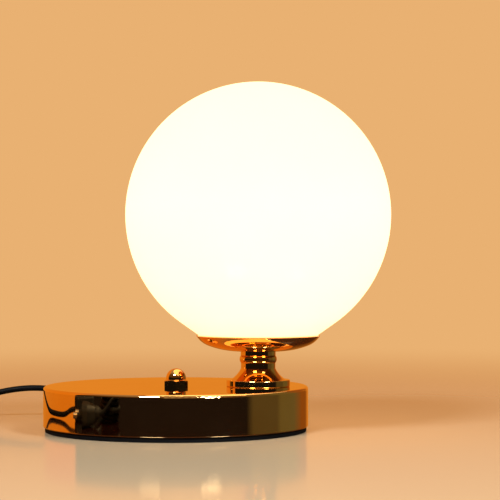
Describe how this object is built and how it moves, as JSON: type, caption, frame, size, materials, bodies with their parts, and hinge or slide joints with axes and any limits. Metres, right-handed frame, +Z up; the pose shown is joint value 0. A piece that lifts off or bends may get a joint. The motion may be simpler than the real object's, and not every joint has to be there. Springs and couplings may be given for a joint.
{
  "type": "table lamp",
  "caption": "Small table lamp with an opal glass globe in a shallow brass dish on a turned neck, set off centre on a low weighted drum base, with a corded rocker switch and plug.",
  "frame": {"origin": "centre of the round base, on the table", "axes": "+Z up, +X from the base's centre towards the neck, the cord leaves at the back left"},
  "size_m": [0.2982, 0.2686, 0.1971],
  "materials": {
    "polished_brass": "polished",
    "iron_weight": "rough cast",
    "zinc_steel": "zinc plated",
    "spring_steel": "bright",
    "opal_glass": "opal, fire polished",
    "black_rubber": "matt",
    "black_cord": "soft matt",
    "black_moulding": "fine grain",
    "holder_plastic": "gloss",
    "contact_brass": "bright",
    "nickel_plate": "nickel plated",
    "bulb_plastic": "gloss",
    "bulb_diffuser": "satin",
    "board_aluminium": "plain",
    "black_insulator": "glassy",
    "brown_insulation": "soft",
    "blue_insulation": "soft"
  },
  "bodies": {
    "lamp": {"base_shell": "polished_brass", "counterweight": "iron_weight", "bottom_plate": "zinc_steel", "plate_screws": "zinc_steel", "foot_pad": "black_rubber", "centre_bolt": "zinc_steel", "bolt_washer": "zinc_steel", "cap_nut": "polished_brass", "lamp_pipe": "zinc_steel", "pipe_washer": "zinc_steel", "pipe_nut": "zinc_steel", "neck_flange": "polished_brass", "neck_bell": "polished_brass", "neck_bead": "polished_brass", "neck_collar": "polished_brass", "dish": "polished_brass", "dish_gasket": "black_rubber", "globe_spring": "spring_steel", "lock_washer": "zinc_steel", "upper_nut": "zinc_steel", "holder_cap": "holder_plastic", "holder_body": "holder_plastic", "holder_sleeve": "contact_brass", "holder_insert": "holder_plastic", "holder_contact": "contact_brass", "cord_grommet": "black_moulding", "inner_cord": "black_cord", "cord_clamp": "black_moulding", "clamp_screws": "zinc_steel", "live_wire": "brown_insulation", "neutral_wire": "blue_insulation", "cord_lead": "black_cord", "switch_lower_case": "black_moulding", "switch_upper_case": "black_moulding", "switch_screws": "zinc_steel", "switch_contacts": "contact_brass", "cord_link": "black_cord", "cord_coil": "black_cord", "coil_tie": "black_moulding", "cord_end": "black_cord", "plug_body": "black_moulding", "plug_pins": "nickel_plate"},
    "globe": {"globe": "opal_glass"},
    "bulb": {"bulb_cap": "nickel_plate", "bulb_insulator": "black_insulator", "bulb_contact": "nickel_plate", "bulb_collar": "bulb_plastic", "bulb_dome": "bulb_diffuser", "bulb_board": "board_aluminium"},
    "rocker": {"switch_rocker": "black_moulding"}
  },
  "joints": [
    {"name": "globe_lift", "type": "slide", "parent": "lamp", "child": "globe", "axis": [0, 0, 1], "range_m": [0, 0.13]},
    {"name": "bulb_out", "type": "slide", "parent": "lamp", "child": "bulb", "axis": [0, 0, 1], "range_m": [0, 0.026]},
    {"name": "rocker_press", "type": "hinge", "parent": "lamp", "child": "rocker", "pos_m": [-0.163, -0.088, 0.0106], "axis": [-0.9976, -0.0698, 0], "range_deg": [0, 18]}
  ]
}
